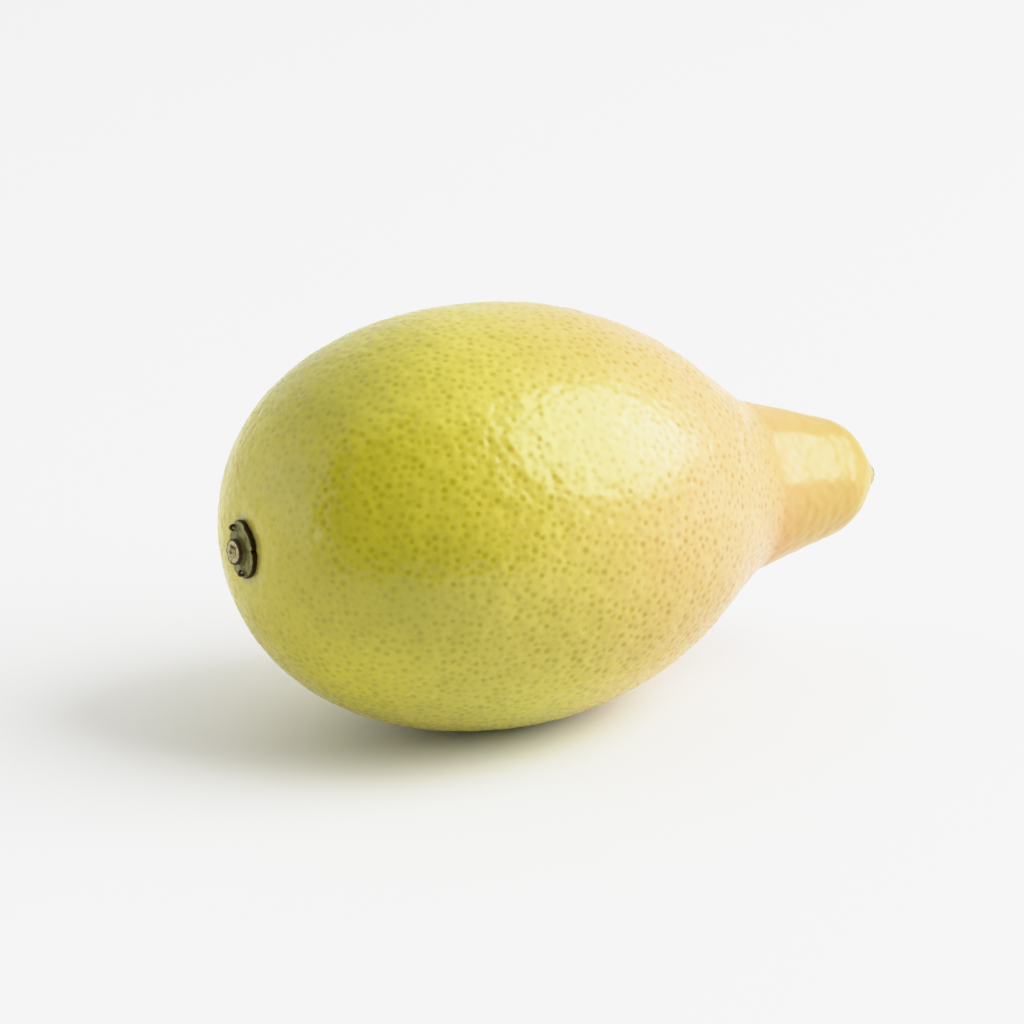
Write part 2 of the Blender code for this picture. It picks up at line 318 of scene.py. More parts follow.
def scattered_glands():
    """Oil glands scattered over the skin, none nearer to another than the spacing there."""
    x = axis_samples(20000)
    radius = outline_radius(x)
    area = np.cumsum(0.5 * (radius[1:] + radius[:-1]) * np.hypot(np.diff(x), np.diff(radius)))
    cell = SHOULDER_GLAND_SPACING
    numbers = np.random.default_rng(5)
    along = np.interp(numbers.random(GLAND_TRIES) * area[-1], area, x[1:])
    around = numbers.random(GLAND_TRIES) * 2.0 * math.pi
    points = skin_points(along, around)
    wider = ramp(along, *GLAND_SPACING_PLACES)
    spacing = GLAND_SPACING + (SHOULDER_GLAND_SPACING - GLAND_SPACING) * wider
    grid, kept = {}, []
    near = [(i, j, k) for i in (-1, 0, 1) for j in (-1, 0, 1) for k in (-1, 0, 1)]
    for index, point in enumerate(points.tolist()):
        gap = spacing[index] ** 2
        a, b, c = (math.floor(value / cell) for value in point)
        clear = True
        for i, j, k in near:
            for other in grid.get((a + i, b + j, c + k), ()):
                if sum((p - q) ** 2 for p, q in zip(point, other)) < gap:
                    clear = False
                    break
            if not clear:
                break
        if clear:
            grid.setdefault((a, b, c), []).append(point)
            kept.append(index)
    return points[kept], along[kept]


def gland_strength(along, points):
    """How strongly a gland shows: less by the calyx, more underneath, hardly at all on the neck."""
    strength = np.array([FAINTEST_GLAND + GLAND_STRENGTHS * rng.random() for _ in along])
    from_calyx = np.hypot(points[:, 1] - SEAT_MIDDLE[0], points[:, 2] - SEAT_MIDDLE[1])
    strength *= STRENGTH_BY_CALYX + (1.0 - STRENGTH_BY_CALYX) * ramp(from_calyx, *GLANDS_CLEAR_OF_CALYX)
    strength *= 1.0 + (STRENGTH_UNDERNEATH - 1.0) * ramp(-points[:, 2], 0.0, GLANDS_UNDERNEATH)
    strength *= 1.0 + (STRENGTH_ON_NECK - 1.0) * ramp(along, NECK_FROM, NECK_FULL)
    return strength


def tree_of(points):
    """A tree that finds the points nearest to a place."""
    tree = kdtree.KDTree(len(points))
    for index, point in enumerate(points):
        tree.insert(point, index)
    tree.balance()
    return tree


def set_attribute(mesh, name, kind, domain, values):
    attribute = mesh.attributes.new(name, kind, domain)
    slot = "vector" if kind == "FLOAT_VECTOR" else "value"
    attribute.data.foreach_set(slot, np.ascontiguousarray(values, dtype=np.float32).ravel())


def swell(points, swells):
    """Uneven swell of the skin: a sum of noises, each with its length and height."""
    total = np.zeros(len(points))
    for number, (length, height) in enumerate(swells):
        shift = Vector((7.0, 3.0, 1.0)) * number
        total += height * np.array([noise.noise(Vector(p) / length + shift) for p in points])
    return total


def facet_sink(along, around):
    """How far the flattened side of the neck lies below its round."""
    start, full, fading, end = FACET_PLACES
    radius = outline_radius(np.clip(along, start, end))
    across = radius * ((around - FACET_ANGLE + math.pi) % (2.0 * math.pi) - math.pi)
    uneven = np.array([noise.noise(Vector((x / FACET_WAVE, 5.0, 0.0))) for x in along])
    half_width = FACET_HALF_WIDTH * (1.0 + FACET_WAVINESS * uneven)
    sagitta = (half_width**2 - across**2) / (2.0 * radius)
    sagitta *= FACET_START_DEPTH - FACET_DEPTH_LOSS * ramp(along, start, end)
    share = ramp(along, start, full) * (1.0 - ramp(along, fading, end))
    return smooth_max(np.zeros_like(sagitta), sagitta, FACET_SOFTNESS) * share


def skin_relief(points, along, around, gland_tree, strength, size):
    """How far points stand off the smooth skin: gland pits, swells and the neck's flattened side."""
    near = np.array([[found[1:] for found in gland_tree.find_n(point, 4)] for point in points])
    index = near[:, :, 0].astype(int)
    pits = (strength[index] * bump(near[:, :, 1], PIT_WIDTH * size[index])).sum(axis=1)
    neck = ramp(along, NECK_FROM, NECK_FULL)
    height = -PIT_DEPTH * pits - SWELL_SINK + swell(points, SWELLS) * (1.0 - neck)
    height += swell(points, NECK_SWELLS) * neck - NECK_SINK * neck - facet_sink(along, around)
    return height


def skin_mesh():
    """The peel, from its smooth skin, its glands and its relief, with what its colours follow."""
    along, around, faces = skin_sheet()
    points = skin_points(along, around)
    glands, gland_along = scattered_glands()
    strength = gland_strength(gland_along, glands)
    size = np.array([rng.uniform(*GLAND_SIZES) for _ in gland_along])

    # a point of the mesh in the middle of each gland, but not close to the axis, where points crowd
    mesh_tree = tree_of(points)
    for gland in glands:
        if math.hypot(gland[1], gland[2]) > POLE_CLEARANCE:
            _, index, _ = mesh_tree.find(gland)
            points[index] = gland

    mesh = bpy.data.meshes.new("skin")
    mesh.from_pydata(placed(points).tolist(), [], faces)
    mesh.update()
    normals = np.zeros(len(points) * 3, np.float32)
    mesh.vertex_normals.foreach_get("vector", normals)
    gland_tree = tree_of(glands)
    height = skin_relief(points, along, around, gland_tree, strength, size)
    laid = placed(points) + normals.reshape(-1, 3) * height[:, None]
    laid[:, 2] = 0.5 * (laid[:, 2] + np.hypot(laid[:, 2], FLAT_SPOT_ROUNDING))
    mesh.vertices.foreach_set("co", laid.ravel())
    mesh.update()
    mesh.shade_smooth()

    corner = np.array(faces)
    middles = points[corner].mean(axis=1)
    owner = np.array([gland_tree.find(middle)[1] for middle in middles])
    set_attribute(mesh, "gland_middle", "FLOAT_VECTOR", "FACE", placed(glands)[owner] / MM)
    looks = np.stack((strength[owner], size[owner], np.zeros(len(owner))), axis=-1)
    set_attribute(mesh, "gland_look", "FLOAT_VECTOR", "FACE", looks)
    set_attribute(mesh, "fruit_place", "FLOAT_VECTOR", "POINT", points / MM)
    return mesh


# Small pieces


def ring(count, point):
    return [point(2.0 * math.pi * i / count) for i in range(count)]


def ringed_mesh(name, shells):
    """A mesh of closed shells, each a pole, rings of equal count, and a pole, laid down."""
    bm = bmesh.new()
    for first_pole, rings, last_pole in shells:
        loops = [[bm.verts.new(PLACEMENT @ p) for p in points] for points in rings]
        for pole, loop in ((first_pole, loops[0]), (last_pole, loops[-1])):
            tip = bm.verts.new(PLACEMENT @ pole)
            for a, b in zip(loop, loop[1:] + loop[:1]):
                bm.faces.new((tip, a, b))
        for lower, upper in zip(loops, loops[1:]):
            for i in range(len(lower)):
                j = (i + 1) % len(lower)
                bm.faces.new((lower[i], lower[j], upper[j], upper[i]))
    bmesh.ops.recalc_face_normals(bm, faces=bm.faces[:])
    mesh = bpy.data.meshes.new(name)
    bm.to_mesh(mesh)
    bm.free()
    mesh.shade_smooth()
    return mesh


def turn_between(a, b):
    return abs((a - b + math.pi) % (2.0 * math.pi) - math.pi)


def calyx_edge(angle):
    """Distance of the calyx's edge from its middle."""
    share = 1.0 + CALYX_STRETCH * math.cos(2.0 * (angle - CALYX_STRETCH_ANGLE))
    for cleft, depth, width in CLEFTS:
        share -= depth * bump(turn_between(angle, math.radians(cleft)), math.radians(width))
    for lobe in LOBE_ANGLES:
        share += LOBE_POINT * bump(turn_between(angle, lobe), LOBE_POINT_WIDTH)
    return CALYX_RADIUS * float(share)


def on_stem_end(out, angle, height):
    """Point this far from the calyx's middle, at an angle about it and a height above the skin."""
    y = SEAT_MIDDLE[0] - out * math.cos(angle)
    z = SEAT_MIDDLE[1] + out * math.sin(angle)
    return Vector((stem_end_x(y, z) - height, y, z))


def calyx_point(share, height, angle):
    """Point of the calyx's disc at a share of the way to its edge."""
    out = share * calyx_edge(angle)
    place = Vector((out * math.cos(angle), out * math.sin(angle), height))
    wobble = sum(tall * noise.noise(place / length) for length, tall in CALYX_WOBBLES)
    wobble *= min(1.0, max(0.0, height / CALYX_WOBBLE_FULL))
    return on_stem_end(out, angle, height + wobble)


def calyx_top(share):
    """Height of the calyx's face above the skin."""
    return CALYX_MIDDLE_THICKNESS + (CALYX_EDGE_THICKNESS - CALYX_MIDDLE_THICKNESS) * share**2


def calyx_disc_path():
    """(share of the way out, height) up the outside of the disc, from its underside to its face."""
    shares = [0.1, 0.2, 0.3, 0.4, 0.5, 0.6, 0.7, 0.78, 0.84, 0.9, 0.94, 0.97]
    side = [(0.985, 0.0), (1.0, 0.2), (1.01, 0.4), (1.005, 0.6), (1.0, 0.8), (0.988, 0.95)]
    path = [(share, CALYX_UNDERSIDE) for share in shares]
    path += [(share, high * CALYX_EDGE_THICKNESS) for share, high in side]
    return path + [(share, calyx_top(share)) for share in reversed(shares)]


def curled_tip_rings(angle):
    """Rings round a lobe's tip that leaves the face and rolls up and back."""
    face = calyx_top(CURL_FROM / CALYX_RADIUS)
    length = CURL_STRAIGHT + CURL_RADIUS * CURL_TURN
    rings = []
    for step in range(CURL_STEPS + 1):
        share = step / CURL_STEPS
        rolled = max(0.0, share * length - CURL_STRAIGHT) / CURL_RADIUS
        out = CURL_FROM + min(CURL_STRAIGHT, share * length)
        radius = CURL_RADIUS * (1.0 - 0.25 * share)
        out += radius * math.sin(rolled)
        height = face + CURL_RADIUS - radius * math.cos(rolled)
        width = CURL_HALF_WIDTH * (1.0 - 0.55 * share**2) * (1.0 if step < CURL_STEPS else 0.6)
        thick = CURL_HALF_THICKNESS * (1.0 - 0.3 * share)
        loop = []
        for k in range(CURL_SIDES):
            turn = 2.0 * math.pi * k / CURL_SIDES
            lift = thick * math.sin(turn)
            aside = width * math.cos(turn)
            rough = 1.0 + 0.25 * noise.noise(Vector((4.0 * share, math.cos(turn), math.sin(turn))))
            point = on_stem_end(
                out - lift * rough * math.sin(rolled),
                angle + aside * rough / (CURL_FROM + CURL_STRAIGHT),
                height + lift * rough * math.cos(rolled),
            )
            loop.append(point)
        rings.append(loop)
    return rings


def calyx_mesh():
    """The lobed disc with its two curled tips, from under the skin to the solid's face."""
    path = calyx_disc_path()
    rings = [ring(240, lambda angle: calyx_point(share, height, angle)) for share, height in path]
    shells = [(calyx_point(0.0, CALYX_UNDERSIDE, 0.0), rings, calyx_point(0.0, calyx_top(0.0), 0.0))]
    for angle in CURLED_TIPS:
        rings = curled_tip_rings(angle)
        shells.append((middle_of(rings[0]), rings, middle_of(rings[-1])))
    return ringed_mesh("calyx_lobes", shells)


def middle_of(points):
    return sum(points, Vector()) / len(points)


def stub_mesh():
    """The cut stem, flared into the calyx, with a broken rim and the pith sunk in its face."""
    lean = Matrix.Translation(STUB_FOOT) @ Matrix.Rotation(STUB_LEAN, 4, "Z")
    radius, top = STUB_RADIUS, STUB_TOP
    foot = [(0.6 * radius, STUB_BOTTOM), (1.2 * radius, STUB_BOTTOM), (1.14 * radius, 0.2 * STUB_BOTTOM)]
    side = [(radius + STUB_FLARE * math.exp(-5.0 * k / 8), top * (k + 0.6) / 10) for k in range(9)]
    rim = [(0.99, 0.93), (0.97, 0.985), (0.92, 1.0), (0.87, 0.985)]
    rim += [(0.8, 0.95), (0.68, 0.94), (0.55, 0.955)]
    face = [(out * radius, high * top) for out, high in rim]
    pith = [(PITH_RADIUS, 0.93 * top)]
    pith += [(0.85 * PITH_RADIUS, top - 0.8 * PITH_DEPTH), (0.5 * PITH_RADIUS, top - PITH_DEPTH)]

    def stub_point(out, height, angle=0.0):
        y, z = math.cos(angle), math.sin(angle)
        rough = noise.noise(Vector((3.0 * y, 3.0 * z, out / STUB_RADIUS * 4.0)))
        fine = noise.noise(Vector((9.0 * y, 9.0 * z, height / top * 3.0)))
        out *= 1.0 + 0.05 * rough * min(1.0, out / STUB_RADIUS) + 0.03 * fine
        lift = height + 0.04 * MM * (rough + fine) * max(0.0, height / top)
        return lean @ Vector((-lift, -out * y, out * z))

    path = foot + side + face + pith
    rings = [ring(96, lambda angle: stub_point(out, height, angle)) for out, height in path]
    return ringed_mesh("stub", [(stub_point(0.0, STUB_BOTTOM), rings, stub_point(0.0, top - PITH_DEPTH))])


def style_mesh():
    """The dry remnant of the style, a low wrinkled dome on the nipple."""
    path = [(0.3, -0.8), (0.6, -0.8), (0.9, -0.8), (1.0, -0.5), (1.0, -0.2), (0.97, 0.05), (0.91, 0.3)]
    path += [(0.82, 0.52), (0.7, 0.72), (0.56, 0.87), (0.4, 0.95), (0.25, 1.0), (0.12, 1.0)]

    def style_point(radius, height, angle=0.0):
        ripple = noise.noise(Vector((2.5 * math.cos(angle), 2.5 * math.sin(angle), 2.0 * radius)))
        radius *= STYLE_RADIUS * (1.0 + 0.12 * ripple)
        height = STYLE_HEIGHT * (height + 0.3 * ripple * max(0.0, height))
        y = NIPPLE_MIDDLE[0] + radius * math.cos(angle)
        z = NIPPLE_MIDDLE[1] + radius * math.sin(angle)
        return Vector((neck_end_x(y, z) + height, y, z))

    rings = [ring(72, lambda angle: style_point(radius, height, angle)) for radius, height in path]
    return ringed_mesh("style", [(style_point(0.0, -0.8), rings, style_point(0.0, 1.0))])


# Materials


class Nodes:
    """Short calls that add and link shader nodes."""

    def __init__(self, name):
        self.material = bpy.data.materials.new(name)
        self.material.use_nodes = True
        self.tree = self.material.node_tree
        self.shader = self.tree.nodes["Principled BSDF"]

    def add(self, kind, inputs=None, **settings):
        node = self.tree.nodes.new("ShaderNode" + kind)
        for key, value in settings.items():
            setattr(node, key, value)
        for key, value in (inputs or {}).items():
            self.put(node.inputs[key], value)
        return node

    def put(self, socket, value):
        if isinstance(value, bpy.types.NodeSocket):
            self.tree.links.new(value, socket)
        else:
            socket.default_value = value

    def attribute(self, name):
        return self.add("Attribute", attribute_name=name)

    def parts(self, vector):
        return self.add("SeparateXYZ", {0: vector}).outputs

    def scaled(self, vector, factor):
        return self.add("VectorMath", {0: vector, "Scale": factor}, operation="SCALE").outputs[0]

    def distance(self, a, b):
        return self.add("VectorMath", {0: a, 1: b}, operation="DISTANCE").outputs["Value"]

    def place_mm(self):
        """The shaded point in the piece's own coordinates, in mm."""
        return self.scaled(self.add("TexCoord").outputs["Object"], 1.0 / MM)

    def math(self, operation, a, b=0.0, clamp=False):
        return self.add("Math", {0: a, 1: b}, operation=operation, use_clamp=clamp).outputs[0]

    def times(self, a, b):
        return self.math("MULTIPLY", a, b)

    def smooth(self, value, start, end, low=0.0, high=1.0):
        """A smooth step of a value from low at start to high at end."""
        inputs = {"Value": value, "From Min": start, "From Max": end, "To Min": low, "To Max": high}
        return self.add("MapRange", inputs, interpolation_type="SMOOTHSTEP").outputs[0]

    def noise(self, place, scale, detail=3.0, roughness=0.5):
        inputs = {"Vector": place, "Scale": scale, "Detail": detail, "Roughness": roughness}
        return self.add("TexNoise", inputs).outputs["Fac"]

    def mix(self, share, a, b, blend="MIX"):
        """Mix of two colours. Sockets 6 and 7 take colours, and 2 gives one."""
        node = self.add("Mix", data_type="RGBA", blend_type=blend)
        self.put(node.inputs[0], share)
        self.put(node.inputs[6], a)
        self.put(node.inputs[7], b)
        return node.outputs[2]

    def tinted(self, colour, tint):
        return self.mix(1.0, colour, tint, "MULTIPLY")

    def ramp(self, value, stops):
        node = self.add("ValToRGB", {"Fac": value})
        elements = node.color_ramp.elements
        while len(elements) < len(stops):
            elements.new(0.5)
        for element, (place, colour) in zip(elements, stops):
            element.position = place
            element.color = colour
        return node.outputs["Color"]

    def surface(self, colour, roughness, height=None):
        """Links the shader's colour, its roughness and the bumps of a height in mm."""
        self.put(self.shader.inputs["Base Color"], colour)
        self.put(self.shader.inputs["Roughness"], roughness)
        if height is not None:
            inputs = {"Height": height, "Strength": 1.0, "Distance": MM}
            self.put(self.shader.inputs["Normal"], self.add("Bump", inputs).outputs[0])


def rgb(red, green, blue):
    return (red, green, blue, 1.0)


# Colour of the peel between its glands, by place along the axis in mm
PEEL_ZONES = (
    (0.0, (0.52, 0.45, 0.024)),
    (3.0, (0.51, 0.45, 0.020)),
    (6.0, (0.505, 0.453, 0.022)),
    (12.0, (0.53, 0.465, 0.044)),
    (18.0, (0.54, 0.445, 0.068)),
    (23.0, (0.55, 0.405, 0.095)),
    (28.0, (0.58, 0.370, 0.125)),
    (34.0, (0.65, 0.345, 0.155)),
    (40.0, (0.67, 0.312, 0.130)),
    (45.0, (0.61, 0.306, 0.112)),
    (50.0, (0.53, 0.300, 0.078)),
    (58.0, (0.45, 0.270, 0.040)),
)
ZONES_WAVER = 5.0  # mm by which the zones' borders waver
CLOUD_TINT = (0.94, 0.95, 0.8)

# Paler and darker places on the peel, in mm: middle, radii of their edge and core, tint. The first is
# painted light, a pool of floor bounce low on the near side by the stem end; the second and third
# are painted shade on the upper side; the last is darker on the near side.
PEEL_PATCHES_AND_PAINTED_LIGHT = (
    ((5.2, -10.5, -9.5), 7.0, 2.0, (1.1, 1.1, 1.0)),
    ((8.5, 1.0, 14.5), 10.0, 4.0, (0.82, 0.83, 0.35)),
    ((2.5, -4.0, 9.0), 7.0, 2.5, (0.91, 0.91, 0.4)),
    ((9.5, -14.0, -0.5), 6.5, 2.0, (0.90, 0.90, 0.9)),
)

# Changes of the peel's colour with height. Heights are mm above the axis, places are mm along it, and
# each pair is where a change starts and ends. Two more numbers are the values at those ends, where
# they aren't 0 and 1: a shift is how many mm nearer to the neck the zones lie, a painted shade a
# brightness. The painted shade darkens the peel low down and on top, standing in for weaker light there.
UNDERSIDE_SHIFT = (-7.0, 4.5, 5.0, 0.0)
SHIFT_PLACES = (12.0, 22.0)
PAINTED_SHADE_BELOW = (-7.0, 6.0, 0.90, 1.01)
PAINTED_SHADE_ABOVE = (12.0, 17.0, 1.0, 0.94)
PAINTED_SHADE_PLACES = (8.0, 16.0)
# Lighter and greener at the bottom: partly painted light, partly the underside's greener colour
LOWEST_TINT_AND_LIGHT_HEIGHTS = (-5.0, -13.0)
LOWEST_TINT_AND_LIGHT_PLACES = (9.0, 20.0)
LOWEST_TINT_AND_LIGHT = (1.12, 1.21, 0.72)
NECK_UNDER_HEIGHTS = (2.5, -1.5)
NECK_UNDER_PLACES = (42.0, 51.0)
NECK_UNDER_COLOUR = (0.46, 0.29, 0.052)
NECK_UNDER_SHARE = 0.85

# Brown of the skin beside the calyx, by distance in mm: a stain, and painted shade where the calyx's edge
# meets the skin
CALYX_PLACE = (0.55, 0.0, -0.5)
STAIN_AND_SHADE_REACH = (3.0, 2.1)
STAIN_AND_SHADE_COLOUR = (0.30, 0.24, 0.09)
STAIN_AND_SHADE_SHARE = 0.75

# Glands: their tints are of a gland's middle, times the peel round it
GLAND_TINT = (0.72, 0.71, 0.02)
SHOULDER_GLAND_TINT = (0.35, 0.61, 0.52)
SHOULDER_GLAND_PLACES = (22.0, 44.0)
GLAND_DOT_RADIUS = 0.40  # mm
GLAND_DOT_DEPTH = 0.004  # mm
GRAIN_HEIGHT = 0.004  # mm
PEEL_ROUGHNESS = (0.21, 0.29)
NECK_ROUGHNESS = (42.0, 48.0, 0.0, 0.08)  # places, and what the neck adds


def peel_colour(n, place):
    """Colour of the peel between its glands, and the place along its zones."""
    parts = n.parts(place)
    x, z = parts["X"], parts["Z"]

    # zones along the fruit, with wavering borders
    waver = n.times(n.math("SUBTRACT", n.noise(place, 0.09, 2.0), 0.5), ZONES_WAVER)
    under = n.times(n.smooth(z, *UNDERSIDE_SHIFT), n.smooth(x, *SHIFT_PLACES))
    along = n.math("SUBTRACT", n.math("ADD", x, waver), under)
    stops = [(place_mm * MM / FRUIT_LENGTH, rgb(*zone)) for place_mm, zone in PEEL_ZONES]
    zones = n.ramp(n.math("DIVIDE", along, FRUIT_LENGTH / MM), stops)
    cloud = n.smooth(n.noise(place, 0.35, 3.0), 0.3, 0.7)
    colour = n.mix(cloud, n.tinted(zones, rgb(*CLOUD_TINT)), zones)

    # patches of the peel, among them painted floor bounce and painted shade on top
    for middle, edge, core, tint in PEEL_PATCHES_AND_PAINTED_LIGHT:
        near = n.smooth(n.distance(place, middle), edge, core)
        colour = n.mix(near, colour, n.tinted(colour, rgb(*tint)))

    # painted shade: darker low down and on top, beyond the stem end
    shade = n.times(n.smooth(z, *PAINTED_SHADE_BELOW), n.smooth(z, *PAINTED_SHADE_ABOVE))
    colour = n.mix(n.smooth(x, *PAINTED_SHADE_PLACES), colour, n.scaled(colour, shade))
    # lighter and greener at the bottom: partly painted light, partly the underside's greener colour
    lowest = n.times(n.smooth(z, *LOWEST_TINT_AND_LIGHT_HEIGHTS), n.smooth(x, *LOWEST_TINT_AND_LIGHT_PLACES))
    colour = n.mix(lowest, colour, n.tinted(colour, rgb(*LOWEST_TINT_AND_LIGHT)))
    neck_under = n.times(n.smooth(z, *NECK_UNDER_HEIGHTS), n.smooth(x, *NECK_UNDER_PLACES))
    colour = n.mix(n.times(neck_under, NECK_UNDER_SHARE), colour, rgb(*NECK_UNDER_COLOUR))

    # a brown ring round the calyx: partly a stain, partly painted shade of its edge
    by_calyx = n.smooth(n.distance(place, CALYX_PLACE), *STAIN_AND_SHADE_REACH)
    stain_and_shade = n.times(by_calyx, n.smooth(n.noise(place, 1.5, 3.0), 0.25, 0.6))
    return n.mix(n.times(stain_and_shade, STAIN_AND_SHADE_SHARE), colour, rgb(*STAIN_AND_SHADE_COLOUR)), along


def gland_dot(n):
    """1 in the middle of a strong gland, 0 away from any."""
    look = n.parts(n.attribute("gland_look").outputs["Vector"])
    strength, size = look["X"], look["Y"]
    gap = n.distance(n.place_mm(), n.attribute("gland_middle").outputs["Vector"])
    dot = n.smooth(n.math("DIVIDE", gap, size), 0.0, GLAND_DOT_RADIUS, 1.0, 0.0)
    return n.math("MULTIPLY", dot, strength, clamp=True)


def peel_material():
    n = Nodes("peel")
    place = n.attribute("fruit_place").outputs["Vector"]
    colour, along = peel_colour(n, place)
    dot = gland_dot(n)
    tint = n.mix(n.smooth(along, *SHOULDER_GLAND_PLACES), rgb(*GLAND_TINT), rgb(*SHOULDER_GLAND_TINT))
    colour = n.mix(dot, colour, n.tinted(colour, tint))
    roughness = n.smooth(n.noise(place, 1.2, 3.0), 0.3, 0.7, *PEEL_ROUGHNESS)
    roughness = n.math("ADD", roughness, n.smooth(n.parts(place)["X"], *NECK_ROUGHNESS))
    grain = n.noise(place, 6.0, 4.0, 0.6)
    height = n.math("ADD", n.times(dot, -GLAND_DOT_DEPTH), n.times(grain, GRAIN_HEIGHT))
    n.surface(colour, roughness, height)
    n.shader.inputs["IOR"].default_value = 1.5
    return n.material


def calyx_material():
    """Mottled grey-green, dark brown where the mesh's darkness is 1: dried tips, and a side that is
    partly painted shade.
    """
    n = Nodes("calyx")
    place = n.place_mm()
    blotch = n.smooth(n.noise(place, 1.6, 5.0, 0.6), 0.35, 0.65)
    green = n.mix(blotch, rgb(0.12, 0.12, 0.022), rgb(0.30, 0.29, 0.105))
    brown = n.mix(n.noise(place, 3.0, 3.0), rgb(0.014, 0.005, 0.001), rgb(0.050, 0.022, 0.004))
    colour = n.mix(n.attribute("darkness").outputs["Fac"], green, brown)
    n.surface(colour, 0.5, n.times(n.noise(place, 7.0, 4.0), 0.05))
    n.shader.inputs["Specular IOR Level"].default_value = 0.12
    return n.material


def stem_material():
    """Cream cut wood, olive bark at middling darkness and dark brown at 1."""
    n = Nodes("stem")
    place = n.place_mm()
    grain = n.smooth(n.noise(place, 4.0, 4.0), 0.35, 0.65)
    cream = n.mix(grain, rgb(0.34, 0.28, 0.11), rgb(0.62, 0.55, 0.30))
    dark = n.attribute("darkness").outputs["Fac"]
    bark = n.mix(n.smooth(dark, 0.45, 0.95), rgb(0.15, 0.13, 0.032), rgb(0.040, 0.020, 0.006))
    colour = n.mix(n.smooth(dark, 0.0, 0.45), cream, bark)
    n.surface(colour, 0.6, n.times(n.noise(place, 9.0, 4.0), 0.05))
    n.shader.inputs["Specular IOR Level"].default_value = 0.25
    return n.material


# Where the style's remnant turns brown, in mm: upwards, and towards its tip
STYLE_BROWN_UP = (13.4, 13.9)
STYLE_BROWN_OUT = (34.9, 35.15)


def style_material():
    """Pale straw, with a grey-brown crust at its upper and outer side."""
    n = Nodes("style")
    place = n.place_mm()
    straw = n.smooth(n.noise(place, 3.0, 4.0), 0.3, 0.7)
    pale = n.mix(straw, rgb(0.40, 0.29, 0.10), rgb(0.50, 0.37, 0.16))
    parts = n.parts(place)
    crust = n.times(n.smooth(parts["Z"], *STYLE_BROWN_UP), n.smooth(parts["X"], *STYLE_BROWN_OUT))
    n.surface(n.mix(crust, pale, rgb(0.15, 0.11, 0.065)), 0.6)
    return n.material


def floor_material():
    n = Nodes("floor")
    mottle = n.noise(n.add("TexCoord").outputs["Object"], 40.0, 2.0)
    n.surface(n.mix(mottle, rgb(0.84, 0.84, 0.845), rgb(0.85, 0.85, 0.855)), 0.6)
    n.shader.inputs["Specular IOR Level"].default_value = 0.2
    return n.material


def add_piece(name, mesh, material, node):
    mesh.materials.append(material)
    piece = bpy.data.objects.new(name, mesh)
    bpy.context.scene.collection.objects.link(piece)
    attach(piece, "root")
    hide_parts(node)


def paint_darkness(mesh, darkness):
    """Stores how dark a piece is at each of its points, from the point in the fruit's frame."""
    back = PLACEMENT.inverted()
    values = [darkness(back @ vertex.co) for vertex in mesh.vertices]
    set_attribute(mesh, "darkness", "FLOAT", "POINT", values)


add_piece("peel_skin", skin_mesh(), peel_material(), "fruit")

calyx = calyx_mesh()


def calyx_darkness(point):
    """1 on the calyx's side and curled tips, 0 on its face. The side's dark is partly painted shade of
    the gap under its edge.
    """
    y, z = point.y - SEAT_MIDDLE[0], point.z - SEAT_MIDDLE[1]
    angle = math.atan2(z, -y) % (2.0 * math.pi)
    above = stem_end_x(point.y, point.z) - point.x
    out = math.hypot(y, z) / calyx_edge(angle)
    side = float(ramp(out, *CALYX_DARK_AND_SHADED_SIDE))
    start, full = (calyx_top(out) + height for height in CALYX_DARK_TIPS)
    return max(side, float(ramp(above, start, full)))


paint_darkness(calyx, calyx_darkness)
add_piece("calyx_disc", calyx, calyx_material(), "calyx")

STUB_FOOT = calyx_point(0.0, CALYX_MIDDLE_THICKNESS, 0.0) - Vector((0.0, 0.0, STUB_DROP))
stub = stub_mesh()


def stub_darkness(point):
    """1 on the stub's rim, less on its flared foot and round the pith, 0 on the cut wood."""
    out = math.hypot(point.y - STUB_FOOT.y, point.z - STUB_FOOT.z) / STUB_RADIUS
    high = (STUB_FOOT.x - point.x) / STUB_TOP
    bark = (0.5 + 0.5 * float(ramp(high, *BARK_HEIGHTS))) * float(ramp(out, *BARK_OUT))
    broken = noise.noise(point / BROKEN_LENGTH)
    ring_share = float(bump(out - PITH_RING - 0.2 * broken, PITH_RING_WIDTH))
    pith = ring_share * float(ramp(broken, -0.25, 0.1))
    return max(bark, pith)


paint_darkness(stub, stub_darkness)
add_piece("stem_end", stub, stem_material(), "stem_stub")
add_piece("style_remnant", style_mesh(), style_material(), "style_tip")

# Stage: floor, lights and camera

CAMERA_AZIMUTH = -30.5
CAMERA_ELEVATION = 19.18
CAMERA_DISTANCE = 320.0 * MM
CAMERA_TARGET = Vector((1.053, -0.048, 16.536)) * MM
LENS = 141.32
SENSOR_WIDTH = 36.0
FLOOR_RADIUS = 2.5
FLOOR_IN_FRONT = 0.12  # how far the floor reaches from the fruit towards the camera


def direction(azimuth, elevation):
    """Unit vector: azimuth from -Y towards +X, elevation from level, both in degrees."""
    a, e = math.radians(azimuth), math.radians(elevation)
    return Vector((math.sin(a) * math.cos(e), -math.cos(a) * math.cos(e), math.sin(e)))


floor_mesh = bpy.data.meshes.new("floor")
bm = bmesh.new()
bmesh.ops.create_circle(bm, cap_ends=True, segments=192, radius=FLOOR_RADIUS)
bm.to_mesh(floor_mesh)
bm.free()
floor_mesh.materials.append(floor_material())
floor = bpy.data.objects.new("floor", floor_mesh)
bpy.context.scene.collection.objects.link(floor)
floor.location = (FLOOR_IN_FRONT - FLOOR_RADIUS) * direction(CAMERA_AZIMUTH, 0.0)


LIGHT_DISTANCE = 0.7
LIGHT_AIM = Vector((0.0, 0.0, 0.015))


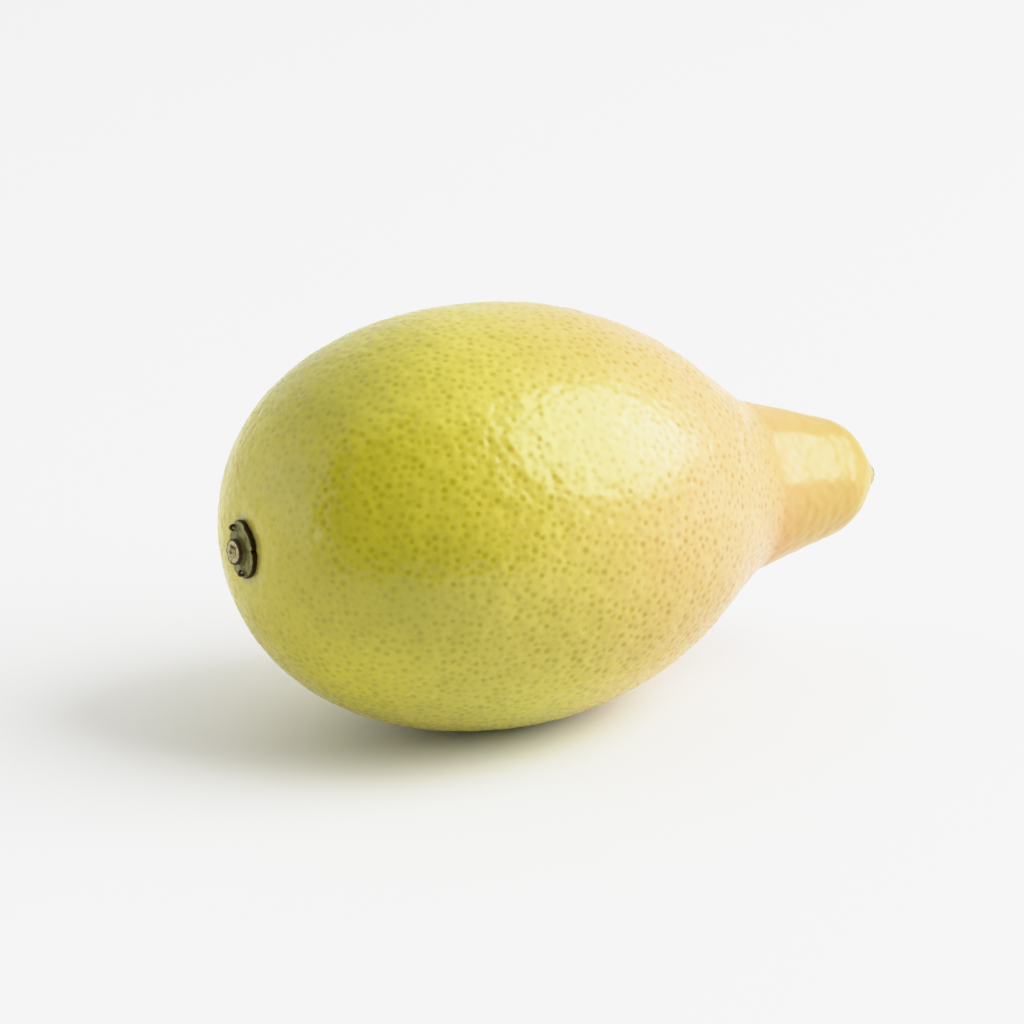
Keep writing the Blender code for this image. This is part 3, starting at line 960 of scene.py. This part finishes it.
def round_light(name, azimuth, elevation, size, watts):
    """A round soft light that faces the fruit."""
    data = bpy.data.lights.new(name, "AREA")
    data.shape = "DISK"
    data.size = size
    data.energy = watts
    lamp = bpy.data.objects.new(name, data)
    bpy.context.scene.collection.objects.link(lamp)
    back = direction(azimuth, elevation)
    lamp.location = LIGHT_AIM + LIGHT_DISTANCE * back
    lamp.rotation_euler = back.to_track_quat("Z", "Y").to_euler()


round_light("softbox", 53.0, 37.5, 0.69, 6.75)
round_light("softbox_edge", 78.0, 22.0, 0.30, 0.60)

# Surroundings, laid over each other in turn: azimuth, elevation and radii of a spot's core and edge
# in degrees, and its brightness. Elsewhere they have a brightness of 1.
SURROUNDINGS = (
    (0.0, 90.0, 20.0, 60.0, 0.9),
    (-165.0, 50.0, 20.0, 60.0, 1.14),
    (52.0, 37.0, 28.0, 50.0, 1.45),
    (-114.0, 6.0, 15.0, 40.0, 2.1),
    (-35.0, 25.0, 44.0, 60.0, 0.12),
)

world = bpy.data.worlds.new("studio")
bpy.context.scene.world = world
world.use_nodes = True
tree = world.node_tree
background = tree.nodes["Background"]
coordinates = tree.nodes.new("ShaderNodeTexCoord")


def lobe(azimuth, elevation, core, edge):
    """1 within core degrees of a direction, 0 beyond edge degrees."""
    dot = tree.nodes.new("ShaderNodeVectorMath")
    dot.operation = "DOT_PRODUCT"
    tree.links.new(coordinates.outputs["Generated"], dot.inputs[0])
    dot.inputs[1].default_value = direction(azimuth, elevation)
    step = tree.nodes.new("ShaderNodeMapRange")
    step.interpolation_type = "SMOOTHSTEP"
    tree.links.new(dot.outputs["Value"], step.inputs["Value"])
    step.inputs["From Min"].default_value = math.cos(math.radians(edge))
    step.inputs["From Max"].default_value = math.cos(math.radians(core))
    return step.outputs[0]


def blend(share, a, b):
    node = tree.nodes.new("ShaderNodeMix")
    node.data_type = "FLOAT"
    tree.links.new(share, node.inputs[0])
    for socket, value in ((node.inputs[2], a), (node.inputs[3], b)):
        if isinstance(value, bpy.types.NodeSocket):
            tree.links.new(value, socket)
        else:
            socket.default_value = value
    return node.outputs[0]


brightness = 1.0
for azimuth, elevation, core, edge, level in SURROUNDINGS:
    brightness = blend(lobe(azimuth, elevation, core, edge), brightness, level)
tree.links.new(brightness, background.inputs["Strength"])
background.inputs["Color"].default_value = rgb(1.0, 1.0, 1.0)

camera_data = bpy.data.cameras.new("camera")
camera_data.lens = LENS
camera_data.sensor_width = SENSOR_WIDTH
camera_data.clip_start = 0.01
camera = bpy.data.objects.new("camera", camera_data)
bpy.context.scene.collection.objects.link(camera)
camera.location = CAMERA_TARGET + CAMERA_DISTANCE * direction(CAMERA_AZIMUTH, CAMERA_ELEVATION)
camera.rotation_euler = direction(CAMERA_AZIMUTH, CAMERA_ELEVATION).to_track_quat("Z", "Y").to_euler()
bpy.context.scene.camera = camera


# Brightness of the picture: straight up to the shoulder, then bending towards the brightest tone
SHOULDER_START = 0.65
SHOULDER_RANGE = 0.29
BRIGHTEST = 2.5
CURVE_POINTS = (0.3, 0.55, 0.65, 0.75, 0.85, 0.95, 1.05, 1.2, 1.35, 1.5, 1.75, 2.0)


def film_curve(value):
    """The picture's brightness for a brightness of the scene."""
    if value < SHOULDER_START:
        return value
    return SHOULDER_START + SHOULDER_RANGE * (1.0 - math.exp((SHOULDER_START - value) / SHOULDER_RANGE))


view = bpy.context.scene.view_settings
view.view_transform = "Standard"
view.use_curve_mapping = True
tones = view.curve_mapping
tones.clip_max_x = BRIGHTEST
curve = tones.curves[3]
curve.points[1].location = (BRIGHTEST, film_curve(BRIGHTEST))
for value in CURVE_POINTS:
    curve.points.new(value, film_curve(value))
tones.update()
